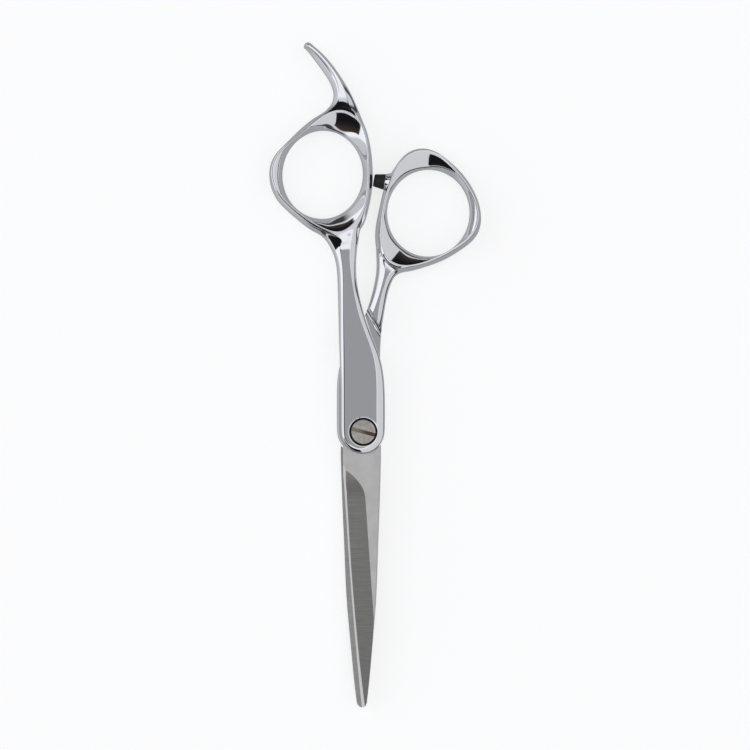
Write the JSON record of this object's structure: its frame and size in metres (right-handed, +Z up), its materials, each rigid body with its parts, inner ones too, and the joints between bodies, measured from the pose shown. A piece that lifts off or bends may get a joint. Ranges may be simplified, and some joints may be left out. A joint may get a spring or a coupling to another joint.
{
  "type": "hair cutting shears",
  "caption": "Right-handed offset hair cutting shears with hollow-ground satin blades, polished ring handles, a fixed finger rest, a rubber stop and a slotted tension screw.",
  "frame": {"origin": "on the pivot axis, at the plane the shears rest on", "axes": "+Y towards the rings and finger rest, +Z up out of the finger half's face with the screw head, +X towards the thumb ring"},
  "size_m": [0.052, 0.163, 0.0068],
  "materials": {
    "handle_polish": "mirror-polished stainless casting, fine scratches",
    "blade_steel": "satin ground with a hollow-ground face and a bright honed edge",
    "screw_satin": "satin turned head with a bright rim",
    "nut_steel": "fine turned",
    "spring_steel": "plain rolled",
    "bush_bronze": "plain turned",
    "stud_steel": "plain turned",
    "bumper_rubber": "matte black moulded",
    "washer_ptfe": "waxy white",
    "insert_nylon": "plain moulded"
  },
  "bodies": {
    "finger_half": {"finger_handle": "handle_polish", "finger_blade": "blade_steel", "pivot_bush": "bush_bronze"},
    "thumb_half": {"thumb_handle": "handle_polish", "thumb_blade": "blade_steel", "bumper": "bumper_rubber", "bumper_stud": "stud_steel", "thrust_washer": "washer_ptfe", "lock_nut": "nut_steel", "nut_insert": "insert_nylon"},
    "screw": {"tension_screw": "screw_satin", "head_washer": "spring_steel", "spring_washer": "spring_steel"}
  },
  "joints": [
    {"name": "pivot", "type": "hinge", "parent": "finger_half", "child": "thumb_half", "pos_m": [0, 0, 0.0034], "axis": [0, 0, -1], "range_deg": [0, 140]},
    {"name": "tension_adjust", "type": "hinge", "parent": "thumb_half", "child": "screw", "pos_m": [0, 0, 0.0034], "axis": [0, 0, 1], "range_deg": [-90, 90]}
  ]
}
